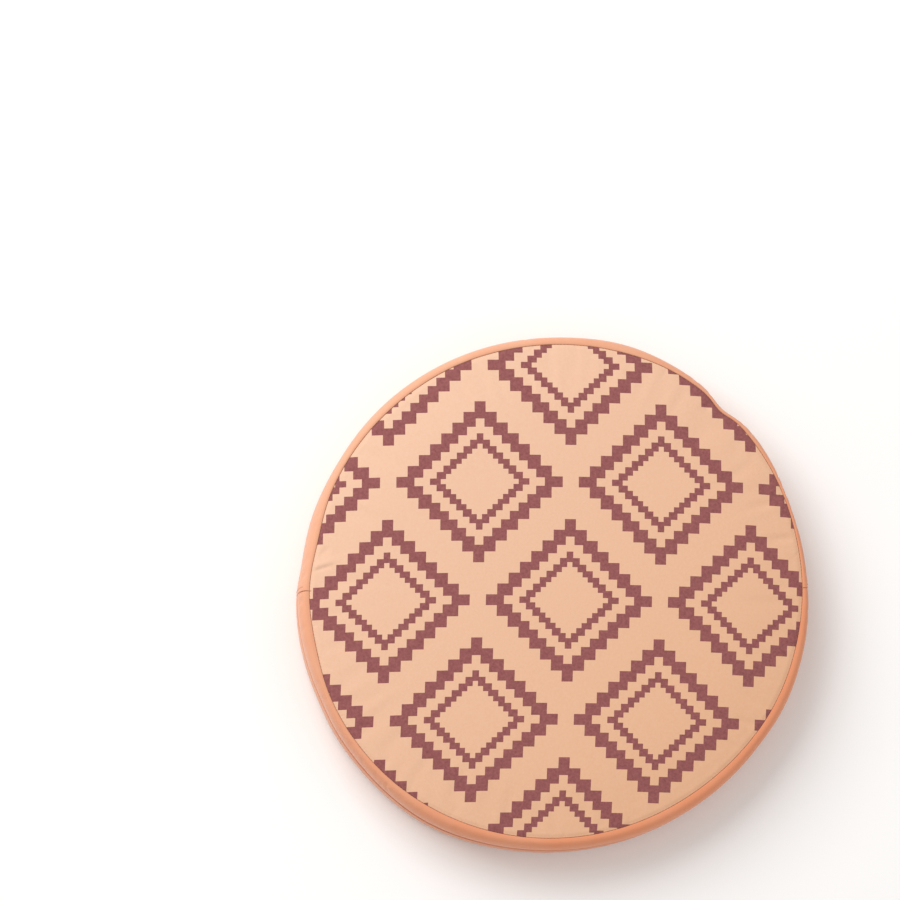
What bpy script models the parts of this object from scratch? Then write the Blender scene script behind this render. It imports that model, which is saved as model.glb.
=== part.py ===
"""Round box cushion with a concealed zip in its band.

The cushion lies flat, its origin at the centre of the underside. Two cloth faces are sewn to
a band that stands between them. Half of the band is one plain piece. The other half, on the
-Y side, is two strips with a concealed zip between them, so the cover comes off its foam disc.
The zip's slider runs round the cushion's centre line. Everything is in metres.
"""

import math

import bmesh
import bpy
from mathutils import Matrix

# Cushion
CUSHION_DIAMETER = 0.400
CUSHION_HEIGHT = 0.050
SHOULDER_WIDTH = 0.030  # where a face leaves the flat and turns to its seam
SHOULDER_DROP = 0.0025  # how far a face has come down at its seam
BAND_BULGE = 0.0065  # how far the band stands out past its two seams
BULGE_POWER = 4.0  # higher keeps the band straighter between rounder edges

# Cloth and sewing
CLOTH = 0.0006
ALLOWANCE = 0.008  # depth of the seam allowances turned in behind the band
THREAD = 0.0005
THREAD_DROP = 0.0012  # from a seam to the stitching just behind it
JOIN_STITCH_INSET = 0.0035  # from the end of the plain band to its line of stitching
GAP = 0.0003  # between neighbours that touch

# Zip
GROOVE_DEPTH = 0.0022  # how far the strips roll in towards the slit
GROOVE_HALF_WIDTH = 0.0035
TAPE = 0.0005
TAPE_WIDTH = 0.009
COIL_WIDTH = 0.0019
COIL_DEPTH = 0.0016
TAPE_STITCH = 0.0055  # from the middle of the zip to the stitching of each tape

# Slider and pull
PARK_DEG = 12.5  # from the end of the zip half to the slider, closed
SLIDER_LENGTH = 0.009
SLIDER_WALL = 0.0010
SLIDER_CLEARANCE = 0.0004
NECK = 0.0006  # thickness of the slider's neck, which passes the slit and between the coils
NECK_COIL_CLEARANCE = 0.0003
NECK_SLIT_CLEARANCE = 0.0004
NECK_LENGTH = 0.006
SADDLE_WIDTH = 0.0020
SADDLE = 0.0006
BRIDGE_LENGTH = 0.0048
BRIDGE_WIDTH = 0.0012
BRIDGE_BAR = 0.0006
BRIDGE_LEG = 0.0008
PULL_LENGTH = 0.013
PULL_WIDTH = 0.0040
PULL_EYE_WIDTH = 0.0032
PULL_THICKNESS = 0.0007
PULL_TUNNEL_CLEARANCE = 0.0002  # round the corners of the pull's crossbar
PULL_SWING_CLEARANCE = 0.0004  # from the end of the pull's eye to the bridge it swings over
STOP_LENGTH = 0.0024
STOP_OFFSET_DEG = 3.0  # from the slider's middle to each stop's, at either end of its travel

# Foam
FOAM_CORNER = 0.006
RELIEF_SLACK = 0.0010  # around the tapes and the slider, pressed into the foam

# Facets round the whole cushion. Every turned piece starts on the same spokes.
SPOKES = 48
ZIP_END_SPOKES = 1  # from each end of the zip half to the end of the chain
BULGE_STEPS = 12
SHOULDER_STEPS = 4
CORNER_STEPS = 3

RADIUS = CUSHION_DIAMETER / 2
MIDDLE = CUSHION_HEIGHT / 2
SEAM_HEIGHT = MIDDLE - SHOULDER_DROP  # of a seam above or below the middle
SPOKE_DEG = 360 / SPOKES
PLAIN_HALF, ZIP_HALF = (0, 180), (180, 360)
CHAIN_ARC = (180 + ZIP_END_SPOKES * SPOKE_DEG, 360 - ZIP_END_SPOKES * SPOKE_DEG)
RELIEF_ARC = (180 - SPOKE_DEG / 2, 360 + SPOKE_DEG / 2)  # a little past the zip half
SLIT = NECK + 2 * NECK_SLIT_CLEARANCE  # between the two strips
COIL_SPACE = NECK + 2 * NECK_COIL_CLEARANCE  # between the two coils
TUNNEL_HEIGHT = PULL_THICKNESS * math.sqrt(2) + 2 * PULL_TUNNEL_CLEARANCE


# ---------------------------------------------------------------- making solids


def clear_scene():
    for obj in list(bpy.data.objects):
        bpy.data.objects.remove(obj, do_unlink=True)


def new_collection(name):
    collection = bpy.data.collections.new(name)
    bpy.context.scene.collection.children.link(collection)
    return collection


def finish(name, colour, roughness, metallic=0.0):
    """A plain finish from an sRGB colour written as 0xRRGGBB."""
    material = bpy.data.materials.new(name)
    material.use_nodes = True
    shader = material.node_tree.nodes["Principled BSDF"]
    channels = [(colour >> shift & 255) / 255 for shift in (16, 8, 0)]
    linear = [c / 12.92 if c <= 0.04045 else ((c + 0.055) / 1.055) ** 2.4 for c in channels]
    shader.inputs["Base Color"].default_value = (*linear, 1)
    shader.inputs["Roughness"].default_value = roughness
    shader.inputs["Metallic"].default_value = metallic
    return material


def place(obj, collection, material, matrix=None):
    collection.objects.link(obj)
    if matrix is not None:
        obj.matrix_world = matrix
    if material is not None:
        obj.data.materials.append(material)
        obj.data.shade_smooth()
        obj.data.set_sharp_from_angle(angle=math.radians(35))
    return obj


def outer_side_down(profile):
    """The closed profile ordered so that its outer side runs from top to bottom."""
    turned = list(zip(profile, profile[1:] + profile[:1]))
    area = sum(r0 * z1 - r1 * z0 for (r0, z0), (r1, z1) in turned)
    return profile if area < 0 else profile[::-1]


def disc_turned(name, profile, collection, material):
    """A full turn of a profile whose two ends lie on the axis."""
    mesh = bpy.data.meshes.new(name)
    points = outer_side_down(profile)
    links = [(i, i + 1) for i in range(len(points) - 1)]
    mesh.from_pydata([(r, 0, z) for r, z in points], links, [])
    obj = place(bpy.data.objects.new(name, mesh), collection, material)
    screw_round(obj)
    return obj


def ring_turned(name, profile, collection, material):
    """A full turn of a closed profile that stays clear of the axis."""
    mesh = bpy.data.meshes.new(name)
    points = outer_side_down(profile)
    links = [(i, (i + 1) % len(points)) for i in range(len(points))]
    mesh.from_pydata([(r, 0, z) for r, z in points], links, [])
    obj = place(bpy.data.objects.new(name, mesh), collection, material)
    screw_round(obj)
    return obj


def screw_round(obj):
    screw = obj.modifiers.new("turn", "SCREW")
    screw.steps = screw.render_steps = SPOKES
    screw.use_merge_vertices = True
    screw.merge_threshold = 0.00005


def arc_turned(name, profile, arc, collection, material, end_gap=0.0):
    """A part turn of a closed profile, capped flat at both ends, between two angles in degrees."""
    start, end = arc
    bm = bmesh.new()
    verts = [bm.verts.new((r, 0, z)) for r, z in profile]
    edges = [bm.edges.new((verts[i - 1], verts[i])) for i in range(len(verts))]
    bmesh.ops.spin(
        bm,
        geom=verts + edges,
        axis=(0, 0, 1),
        cent=(0, 0, 0),
        angle=math.radians(end - start),
        steps=round((end - start) / SPOKE_DEG),
    )
    trim_ends(bm, math.radians(end - start), end_gap)
    rims = [edge for edge in bm.edges if edge.is_boundary]
    bmesh.ops.holes_fill(bm, edges=rims, sides=0)
    bmesh.ops.rotate(bm, verts=bm.verts, matrix=Matrix.Rotation(math.radians(start), 3, "Z"))
    bmesh.ops.recalc_face_normals(bm, faces=bm.faces)
    mesh = bpy.data.meshes.new(name)
    bm.to_mesh(mesh)
    bm.free()
    return place(bpy.data.objects.new(name, mesh), collection, material)


def trim_ends(bm, sweep, end_gap):
    """Moves the two end sections of an arc inwards along it."""
    for vert in bm.verts:
        angle = math.atan2(vert.co.y, vert.co.x) % math.tau
        for end, side in ((0.0, 1), (sweep, -1)):
            away = abs((angle - end + math.pi) % math.tau - math.pi)
            if away < 1e-4:
                vert.co.x -= side * end_gap * math.sin(end)
                vert.co.y += side * end_gap * math.cos(end)


def plate(name, outlines, thickness, collection, material, matrix):
    """A flat plate from its outline and any holes, as a mesh, centred on its own plane."""
    curve = bpy.data.curves.new(name, "CURVE")
    curve.dimensions = "2D"
    curve.fill_mode = "BOTH"
    curve.extrude = thickness / 2
    for outline in outlines:
        spline = curve.splines.new("POLY")
        spline.points.add(len(outline) - 1)
        for point, (x, y) in zip(spline.points, outline):
            point.co = (x, y, 0, 1)
        spline.use_cyclic_u = True
    flat = bpy.data.objects.new(name, curve)
    collection.objects.link(flat)
    graph = bpy.context.evaluated_depsgraph_get()
    mesh = bpy.data.meshes.new_from_object(flat.evaluated_get(graph))
    bpy.data.objects.remove(flat, do_unlink=True)
    bm = bmesh.new()
    bm.from_mesh(mesh)
    bmesh.ops.remove_doubles(bm, verts=bm.verts, dist=1e-6)
    bmesh.ops.recalc_face_normals(bm, faces=bm.faces)
    bm.to_mesh(mesh)
    bm.free()
    mesh.name = name
    mesh.materials.clear()
    return place(bpy.data.objects.new(name, mesh), collection, material, matrix)


def rectangle(x0, x1, y0, y1):
    return [(x0, y0), (x1, y0), (x1, y1), (x0, y1)]


def boolean(obj, other, operation):
    other.hide_render = True
    other.display_type = "WIRE"
    modifier = obj.modifiers.new(other.name, "BOOLEAN")
    modifier.object = other
    modifier.operation = operation
    modifier.solver = "EXACT"


def polar(radius, degrees, height=0.0):
    angle = math.radians(degrees)
    return Matrix.Translation((radius * math.cos(angle), radius * math.sin(angle), height))


def spoke_frame(radius, degrees):
    """A frame at the zip's height whose X points straight out of the cushion."""
    turn = Matrix.Rotation(math.radians(degrees), 4, "Z")
    return polar(radius, degrees, MIDDLE) @ turn


# ---------------------------------------------------------------- the cushion's outline


def band_radius(height):
    """Outer radius of the band: full at mid height and drawn in at both seams."""
    off = abs(height - MIDDLE) / SEAM_HEIGHT
    return RADIUS - BAND_BULGE * off**BULGE_POWER


def strip_radius(height):
    """Outer radius of the zip strips, which also roll in to the slit."""
    off = min(abs(height - MIDDLE) / GROOVE_HALF_WIDTH, 1.0)
    return band_radius(height) - GROOVE_DEPTH * (1 + math.cos(math.pi * off)) / 2


def spaced(low, high, count):
    """Heights or radii from low to high, closer together towards both ends."""
    mid, half = (low + high) / 2, (high - low) / 2
    return [mid - half * math.cos(math.pi * i / count) for i in range(count + 1)]


EDGE_RADIUS = RADIUS - BAND_BULGE  # of the band's outside at its seams
BAND_TURN_IN = EDGE_RADIUS - CLOTH - GAP  # outside of the band's own allowance
FACE_TURN_IN = BAND_TURN_IN - CLOTH - GAP  # outside of a face's allowance, and the face's edge
FLAT_RADIUS = FACE_TURN_IN - SHOULDER_WIDTH


def face_height(radius):
    """Outside height of the upper face at a radius."""
    off = max(0.0, radius - FLAT_RADIUS) / SHOULDER_WIDTH
    return CUSHION_HEIGHT - SHOULDER_DROP * off**2


def face_profile():
    shoulder = spaced(FLAT_RADIUS, FACE_TURN_IN, SHOULDER_STEPS)
    outside = [(0.0, CUSHION_HEIGHT)] + [(r, face_height(r)) for r in shoulder]
    foot = face_height(FACE_TURN_IN) - ALLOWANCE
    inner = FACE_TURN_IN - CLOTH
    hem = [(FACE_TURN_IN, foot), (inner, foot), (inner, face_height(inner) - CLOTH)]
    inside = [(r, face_height(r) - CLOTH) for r in shoulder[-2::-1]]
    return outside + hem + inside + [(0.0, CUSHION_HEIGHT - CLOTH)]


def band_profile():
    """Band of full height, with an allowance turned in at each seam."""
    low, high = MIDDLE - SEAM_HEIGHT, MIDDLE + SEAM_HEIGHT
    wall = [(band_radius(z), z) for z in spaced(low, high, BULGE_STEPS)]
    inner_wall = [
        (band_radius(z) - CLOTH, z)
        for z in spaced(low + CLOTH, high - CLOTH, BULGE_STEPS)
    ]
    upper = turned_in(high, -1)
    lower = turned_in(low, 1)
    return wall + upper + inner_wall[::-1] + lower[::-1]


def turned_in(seam, inwards):
    """The allowance folded back behind the band at one seam, listed from its fold."""
    inner = BAND_TURN_IN - CLOTH
    tip = seam + inwards * ALLOWANCE
    fold = seam + inwards * CLOTH
    return [(inner, seam), (inner, tip), (BAND_TURN_IN, tip), (BAND_TURN_IN, fold)]


def strip_profile():
    """Upper strip of the zip half, from its rolled edge at the slit up to its allowance."""
    low, high = MIDDLE + SLIT / 2, MIDDLE + SEAM_HEIGHT
    roll = MIDDLE + GROOVE_HALF_WIDTH
    heights = [low, (low + roll) / 2, roll] + spaced(roll, high, BULGE_STEPS // 2)[1:]
    wall = [(strip_radius(z), z) for z in heights]
    inner_wall = [(strip_radius(z) - CLOTH, z) for z in heights[:-1] + [high - CLOTH]]
    return wall + turned_in(high, -1) + inner_wall[::-1]


def tape_profile():
    """Upper tape, lying against the inside of its strip."""
    low, high = MIDDLE + SLIT / 2, MIDDLE + TAPE_WIDTH
    roll = MIDDLE + GROOVE_HALF_WIDTH
    heights = [low, (low + roll) / 2, roll, high]
    outside = [(tape_outside(z), z) for z in heights]
    inside = [(tape_outside(z) - TAPE, z) for z in heights]
    return outside + inside[::-1]


def tape_outside(height):
    return strip_radius(height) - CLOTH - GAP


COIL_OUTSIDE = tape_outside(MIDDLE + SLIT / 2) - TAPE - GAP
COIL_EDGE = COIL_SPACE / 2 + COIL_WIDTH  # outer edge of a coil, from the middle of the zip


def coil_profile():
    """Upper coil, its corners cut."""
    near, far = MIDDLE + COIL_SPACE / 2, MIDDLE + COIL_EDGE
    out, back = COIL_OUTSIDE, COIL_OUTSIDE - COIL_DEPTH
    cut = COIL_DEPTH / 4
    return [
        (out, near),
        (out, far - cut),
        (out - cut, far),
        (back + cut, far),
        (back, far - cut),
        (back, near),
    ]


def thread_profile(outside, height):
    return [
        (outside, height - THREAD / 2),
        (outside, height + THREAD / 2),
        (outside - THREAD, height + THREAD / 2),
        (outside - THREAD, height - THREAD / 2),
    ]


def tape_thread_profile():
    height = MIDDLE + TAPE_STITCH
    return thread_profile(tape_outside(height) - TAPE - GAP, height)


def upside_down(profile):
    """The same profile mirrored about mid height."""
    return [(r, CUSHION_HEIGHT - z) for r, z in profile]


# ---------------------------------------------------------------- cover


def build_faces(collection, cloth):
    profile = face_profile()
    disc_turned("top_panel", profile, collection, cloth)
    disc_turned("bottom_panel", upside_down(profile), collection, cloth)


def build_band(collection, cloth):
    arc_turned("band_plain", band_profile(), PLAIN_HALF, collection, cloth, GAP / 2)
    strip = strip_profile()
    arc_turned("band_zip_upper", strip, ZIP_HALF, collection, cloth, GAP / 2)
    arc_turned("band_zip_lower", upside_down(strip), ZIP_HALF, collection, cloth, GAP / 2)


def build_threads(collection, thread):
    behind = FACE_TURN_IN - CLOTH - GAP
    profile = thread_profile(behind, face_height(FACE_TURN_IN) - THREAD_DROP)
    ring_turned("seam_thread_top", profile, collection, thread)
    ring_turned("seam_thread_bottom", upside_down(profile), collection, thread)
    join_thread("join_thread_right", JOIN_STITCH_INSET, collection, thread)
    join_thread("join_thread_left", math.pi * RADIUS - JOIN_STITCH_INSET, collection, thread)


def join_thread(name, along, collection, thread):
    """A line of stitching down the outside of the plain band, this far along it."""
    low, high = MIDDLE - SEAM_HEIGHT + CLOTH, MIDDLE + SEAM_HEIGHT - CLOTH
    out = GAP + THREAD / 2
    turn = along / RADIUS
    curve = bpy.data.curves.new(name, "CURVE")
    curve.dimensions = "3D"
    curve.bevel_depth = THREAD / 2
    curve.bevel_resolution = 0
    curve.use_fill_caps = True
    heights = spaced(low, high, BULGE_STEPS)
    spline = curve.splines.new("POLY")
    spline.points.add(len(heights) - 1)
    for point, z in zip(spline.points, heights):
        radius = band_radius(z) + out
        point.co = (radius * math.cos(turn), radius * math.sin(turn), z, 1)
    obj = bpy.data.objects.new(name, curve)
    collection.objects.link(obj)
    curve.materials.append(thread)


# ---------------------------------------------------------------- zip


def build_zip(collection, tape, coil, thread, metal):
    for name, profile, material in (
        ("zip_tape", tape_profile(), tape),
        ("zip_coil", coil_profile(), coil),
        ("zip_thread", tape_thread_profile(), thread),
    ):
        arc_turned(name + "_upper", profile, CHAIN_ARC, collection, material)
        arc_turned(name + "_lower", upside_down(profile), CHAIN_ARC, collection, material)
    closed_end = -PARK_DEG + STOP_OFFSET_DEG
    zip_stop("zip_stop_closed", closed_end, collection, metal)
    zip_stop("zip_stop_open", -180 - closed_end, collection, metal)


# Distances from the cushion's centre line through the slider, from its back outwards.
CHAIN_BACK = (COIL_OUTSIDE - COIL_DEPTH) * math.cos(math.pi / SPOKES)
SLIDER_INSIDE = CHAIN_BACK - SLIDER_CLEARANCE
SLIDER_BACK = SLIDER_INSIDE - SLIDER_WALL
SLIDER_HALF_WIDTH = COIL_EDGE + SLIDER_CLEARANCE + SLIDER_WALL
SADDLE_BOTTOM = strip_radius(MIDDLE + SADDLE_WIDTH / 2) + SLIDER_CLEARANCE
SADDLE_TOP = SADDLE_BOTTOM + SADDLE
PIVOT_RADIUS = SADDLE_TOP + TUNNEL_HEIGHT / 2


def channel_outline(height):
    """The U that wraps both coils from behind, as seen along the zip."""
    inner = COIL_EDGE + SLIDER_CLEARANCE
    outer = SLIDER_HALF_WIDTH
    return [
        (SLIDER_BACK, -outer),
        (height, -outer),
        (height, -inner),
        (SLIDER_INSIDE, -inner),
        (SLIDER_INSIDE, inner),
        (height, inner),
        (height, outer),
        (SLIDER_BACK, outer),
    ]


def along_zip(degrees):
    """A frame at the zip's height on the cushion's centre line, its Z pointing along the zip."""
    return spoke_frame(0, degrees) @ Matrix.Rotation(math.radians(90), 4, "X")


def zip_stop(name, degrees, collection, metal):
    outline = channel_outline(COIL_OUTSIDE - COIL_DEPTH / 2)
    plate(name, [outline], STOP_LENGTH, collection, metal, along_zip(degrees))


def build_slider(collection, helpers, metal):
    """The slider's body wraps the coils, its neck passes the slit and its bridge stands outside."""
    angle = -PARK_DEG
    channel = channel_outline(COIL_OUTSIDE - COIL_DEPTH / 4)
    body = plate("slider_body", [channel], SLIDER_LENGTH, helpers, None, along_zip(angle))
    overlap = SLIDER_WALL / 2
    across = NECK / 2
    neck = plate(
        "slider_neck",
        [rectangle(SLIDER_INSIDE - overlap, SADDLE_BOTTOM + SADDLE / 2, -across, across)],
        NECK_LENGTH,
        helpers,
        None,
        along_zip(angle),
    )
    across = SADDLE_WIDTH / 2
    saddle = plate(
        "slider_saddle",
        [rectangle(SADDLE_BOTTOM, SADDLE_TOP, -across, across)],
        NECK_LENGTH,
        helpers,
        None,
        along_zip(angle),
    )
    bridge = plate(
        "slider_bridge",
        [bridge_outline()],
        BRIDGE_WIDTH,
        helpers,
        None,
        spoke_frame(0, angle),
    )
    mesh = bpy.data.meshes.new("zip_slider")
    mesh.from_pydata([tuple(v.co) for v in body.data.vertices], [], face_lists(body.data))
    slider = place(bpy.data.objects.new("zip_slider", mesh), collection, metal, body.matrix_world)
    for other in (neck, saddle, bridge):
        boolean(slider, other, "UNION")
    bpy.data.objects.remove(body, do_unlink=True)
    return slider


def face_lists(mesh):
    return [list(face.vertices) for face in mesh.polygons]


def bridge_outline():
    """The arch over the tunnel, as seen from above: X out of the cushion, Y along the zip."""
    half, leg = BRIDGE_LENGTH / 2, BRIDGE_LEG
    foot = SADDLE_TOP - SADDLE / 2
    under = SADDLE_TOP + TUNNEL_HEIGHT
    over = under + BRIDGE_BAR
    chamfer = BRIDGE_BAR / 2
    return [
        (foot, -half),
        (over - chamfer, -half),
        (over, -half + chamfer),
        (over, half - chamfer),
        (over - chamfer, half),
        (foot, half),
        (foot, half - leg),
        (under, half - leg),
        (under, -half + leg),
        (foot, -half + leg),
    ]


def build_pull(collection, metal, slider):
    """The tab: a crossbar under the bridge, two side rails past it and a rounded plate."""
    half_bar = PULL_THICKNESS / 2
    bridge_corner = math.hypot(BRIDGE_LENGTH / 2, TUNNEL_HEIGHT / 2 + BRIDGE_BAR)
    reach = bridge_corner + PULL_SWING_CLEARANCE
    wide, eye = PULL_WIDTH / 2, PULL_EYE_WIDTH / 2
    window = BRIDGE_WIDTH / 2 + GAP
    round_at = -PULL_LENGTH + wide
    tip = [
        (round_at - wide * math.cos(a), wide * math.sin(a))
        for a in (math.radians(d) for d in range(-60, 61, 30))
    ]
    outline = [(half_bar, eye), (half_bar, -eye), (-reach, -eye), (round_at, -wide)]
    outline += tip + [(round_at, wide), (-reach, eye)]
    hole = [(-half_bar, -window), (-half_bar, window), (-reach, window), (-reach, -window)]
    lying = Matrix.Rotation(math.radians(90), 4, "Y") @ Matrix.Rotation(math.radians(90), 4, "Z")
    frame = spoke_frame(PIVOT_RADIUS, -PARK_DEG)
    pull = plate("zip_pull", [outline, hole], PULL_THICKNESS, collection, metal, None)
    pull.data.transform(lying)
    pull.matrix_world = frame
    pull.parent = slider
    pull.matrix_parent_inverse = slider.matrix_world.inverted()
    return pull


# ---------------------------------------------------------------- foam


def build_foam(collection, helpers, foam):
    allowance_foot = face_height(FACE_TURN_IN) - ALLOWANCE
    waist = FACE_TURN_IN - CLOTH - GAP
    corner = waist - FOAM_CORNER
    shoulder = [
        (r, face_height(r) - CLOTH - GAP) for r in spaced(FLAT_RADIUS, corner, SHOULDER_STEPS)
    ]
    edge = shoulder[-1][1] - FOAM_CORNER
    rounding = [
        (corner + FOAM_CORNER * math.sin(a), edge + FOAM_CORNER * math.cos(a))
        for a in (math.radians(90 * i / CORNER_STEPS) for i in range(1, CORNER_STEPS + 1))
    ]
    shelf = allowance_foot - GAP
    bulge = [(band_radius(shelf) - CLOTH - GAP, shelf), (band_radius(MIDDLE) - CLOTH - GAP, MIDDLE)]
    upper = [(0.0, CUSHION_HEIGHT - CLOTH - GAP)] + shoulder + rounding + [(waist, shelf)] + bulge
    lower = [(r, CUSHION_HEIGHT - z) for r, z in upper[-2::-1]]
    core = disc_turned("foam_core", upper + lower, collection, foam)
    cutter = arc_turned("zip_relief", relief_outline(), RELIEF_ARC, helpers, None)
    boolean(core, cutter, "DIFFERENCE")


def relief_outline():
    """The hollow that the zip presses into the foam: wide for the tapes, deep for the slider."""
    out = RADIUS + RELIEF_SLACK
    shallow = tape_outside(MIDDLE + SLIT / 2) - TAPE - THREAD - RELIEF_SLACK
    deep = SLIDER_BACK - RELIEF_SLACK
    wide = TAPE_WIDTH + RELIEF_SLACK
    narrow = SLIDER_HALF_WIDTH + RELIEF_SLACK
    upper = [(out, wide), (shallow, wide), (shallow, narrow), (deep, narrow)]
    return [(r, MIDDLE + z) for r, z in upper] + [(r, MIDDLE - z) for r, z in upper[::-1]]


def main():
    clear_scene()
    cushion = new_collection("round_box_cushion")
    helpers = new_collection("cutters_and_joined_shapes")
    printed_cloth = finish("printed_cloth", 0xEFC2A1, 0.85)
    band_cloth = finish("band_cloth", 0xEFA27A, 0.85)
    thread = finish("thread", 0xD98E68, 0.7)
    tape = finish("zip_tape", 0xE09468, 0.85)
    coil = finish("zip_coil", 0xC98059, 0.45)
    metal = finish("painted_zinc", 0xD08A63, 0.4, 0.6)
    foam = finish("foam", 0xF2EBDD, 0.95)
    build_faces(cushion, printed_cloth)
    build_band(cushion, band_cloth)
    build_threads(cushion, thread)
    build_zip(cushion, tape, coil, thread, metal)
    slider = build_slider(cushion, helpers, metal)
    build_pull(cushion, metal, slider)
    build_foam(cushion, helpers, foam)


main()
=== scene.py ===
"""Round box cushion: foam disc in a printed cotton cover with a plain boxing band and a concealed zip.

The file follows the cushion as it is made up: the shape that the filled cover takes, the foam, the
printed faces, the band and its stitching, then the zip with its slider and pull. Everything is in metres.
"""

import math
import random

import bmesh
import bpy
import numpy as np
from mathutils import Matrix, Vector


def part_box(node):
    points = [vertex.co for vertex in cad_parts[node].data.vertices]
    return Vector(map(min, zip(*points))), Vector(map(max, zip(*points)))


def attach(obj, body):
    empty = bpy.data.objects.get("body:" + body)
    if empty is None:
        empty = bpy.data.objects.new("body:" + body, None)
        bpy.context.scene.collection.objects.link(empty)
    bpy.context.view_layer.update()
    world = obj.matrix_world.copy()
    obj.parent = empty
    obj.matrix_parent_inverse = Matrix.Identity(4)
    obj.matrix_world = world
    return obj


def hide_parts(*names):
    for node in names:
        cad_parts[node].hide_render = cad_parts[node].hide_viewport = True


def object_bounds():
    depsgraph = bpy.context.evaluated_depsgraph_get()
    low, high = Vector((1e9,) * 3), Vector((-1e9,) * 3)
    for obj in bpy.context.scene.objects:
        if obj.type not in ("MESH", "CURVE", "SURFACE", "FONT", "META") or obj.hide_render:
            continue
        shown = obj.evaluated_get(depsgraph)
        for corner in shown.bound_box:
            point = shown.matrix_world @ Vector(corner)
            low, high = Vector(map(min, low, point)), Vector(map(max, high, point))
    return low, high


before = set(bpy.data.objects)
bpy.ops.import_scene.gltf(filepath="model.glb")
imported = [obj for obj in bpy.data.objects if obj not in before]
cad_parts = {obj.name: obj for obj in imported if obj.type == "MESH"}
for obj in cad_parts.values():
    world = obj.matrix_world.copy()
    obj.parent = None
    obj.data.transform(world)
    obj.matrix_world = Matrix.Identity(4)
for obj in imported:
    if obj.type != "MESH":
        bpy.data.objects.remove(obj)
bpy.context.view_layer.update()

# ------------------------------------------------------------------ the filled cover's shape
# The cover is cut round, but the foam pushes it a few millimetres out of true: it is widest along
# one diagonal, flat in places and has one dent. The zip line alone stays a true circle.
# A cloth simulation of the whole cover, held along its seams, gives the swell between them.

MIDDLE = sum(corner.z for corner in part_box("foam_core")) / 2
HALF_HEIGHT = 0.0250  # from the middle to either face
SEAM_RADIUS = 0.1926
SEAM_HALF = 0.0226  # of each seam above or below the middle
BAND_RADIUS = 0.2000
BAND_ROUNDNESS, ZIP_ROUNDNESS = 2.5, 3.5  # of the section of each half of the band, as superellipses
PILLOW = 0.0006  # how far each strip of the zip half swells on its own
ZIP_RADIUS = 0.1978  # of the cloth at the slit
GROOVE_HALF, GROOVE_FLOOR = 0.0030, 0.0022  # half widths of the groove at its lips and its floor
SLIT_HALF = 0.00045
FACE_DOME = 0.0024  # how far the middle of the upper face stands above its edge
FACE_EDGE = 0.0001  # of the face above its seam, before it turns in
SHOULDER = 0.013  # width of the rounding at the edge of a face
FOLD = 0.0007  # radius of a cloth's turn at a seam
SEAM_GAP = 0.00008  # from the seam line to each cloth


def step(value, low, high):
    """0 below low, 1 above high and smooth between."""
    share = np.clip((value - low) / (high - low), 0, 1)
    return share * share * (3 - 2 * share)


def off(azimuth, at):
    """Degrees from at to azimuth, the short way round."""
    return (azimuth - at + 180) % 360 - 180


def place_round(radius, azimuth, height):
    """Points from a radius, an azimuth in degrees and a height."""
    turn = np.radians(azimuth)
    flat = np.zeros_like(turn + radius + height)
    return np.stack([radius * np.cos(turn) + flat, radius * np.sin(turn) + flat, height + flat], -1)


def soft_bumps(azimuth, bumps):
    """The sum of soft rises and dips in millimetres, each given as its azimuth, width and height."""
    azimuth = np.asarray(azimuth, float)
    total = np.zeros_like(azimuth)
    for at, width, tall in bumps:
        total += tall * np.exp(-((off(azimuth, at) / width) ** 2))
    return total / 1000


def seam_radius(azimuth):
    """Radius of either seam, with the flats, the bumps and the dent of this cushion's edge."""
    oval = 0.0037 * np.cos(2 * np.radians(azimuth - 228))
    marks = [
        (46.4, 3.6, -3.4), (62, 10, 0.9), (115, 14, 0.9), (140, 16, 0.8), (168, 8, -2.2), (193, 9, -1.5),
        (225, 25, 0.8), (334, 21, 2.4), (0, 12, 0.8), (27, 12, 0.4),
    ]
    return SEAM_RADIUS + oval + soft_bumps(azimuth, marks)


def on_zip_side(azimuth):
    """1 on the zip half of the band, 0 on the plain half and smooth between."""
    return step(-np.abs(off(azimuth, 270)), -97, -83)


def band_middle(azimuth):
    """Outer radius at mid height. It is kept true where the slider parks at either end."""
    oval = 0.0030 * np.cos(2 * np.radians(azimuth - 234))
    marks = [
        (240, 14, 2.4), (72, 11, 2.2), (46.4, 5.0, -5.2), (150, 13, -1.4), (20, 10, -2.0), (172, 9, -1.6),
    ]
    free = step(np.abs(off(azimuth, 345)), 10, 26) * step(np.abs(off(azimuth, 193)), 8, 20)
    swell = (oval + soft_bumps(azimuth, marks)) * free
    zip_side = on_zip_side(azimuth)
    swell = np.where(swell < 0, swell * (1 - 0.55 * zip_side), swell)
    return BAND_RADIUS - 0.0004 * free * zip_side + swell


def band_radius(azimuth, share):
    """Outer radius at a share of the seam's height, -1 to 1."""
    top = seam_radius(azimuth) + SEAM_GAP + FOLD
    roundness = BAND_ROUNDNESS + (ZIP_ROUNDNESS - BAND_ROUNDNESS) * on_zip_side(azimuth)
    full = (1 - np.abs(share) ** roundness) ** (1 / roundness)
    return top + (band_middle(azimuth) - top) * full


def strip_radius(azimuth, height):
    """The same for the two strips of the zip half, which roll in to the slit."""
    wall = np.clip((np.abs(height) - GROOVE_FLOOR) / (GROOVE_HALF - GROOVE_FLOOR), 0, 1)
    roll = (1 + np.cos(np.pi * wall)) / 2
    across = np.clip((np.abs(height) - GROOVE_HALF) / (SEAM_HALF - GROOVE_HALF), 0, 1)
    pillow = PILLOW * np.sin(np.pi * across) * step(-np.abs(off(azimuth, 270)), -88, -78)
    return (band_radius(azimuth, height / SEAM_HALF) + pillow) * (1 - roll) + ZIP_RADIUS * roll


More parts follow.
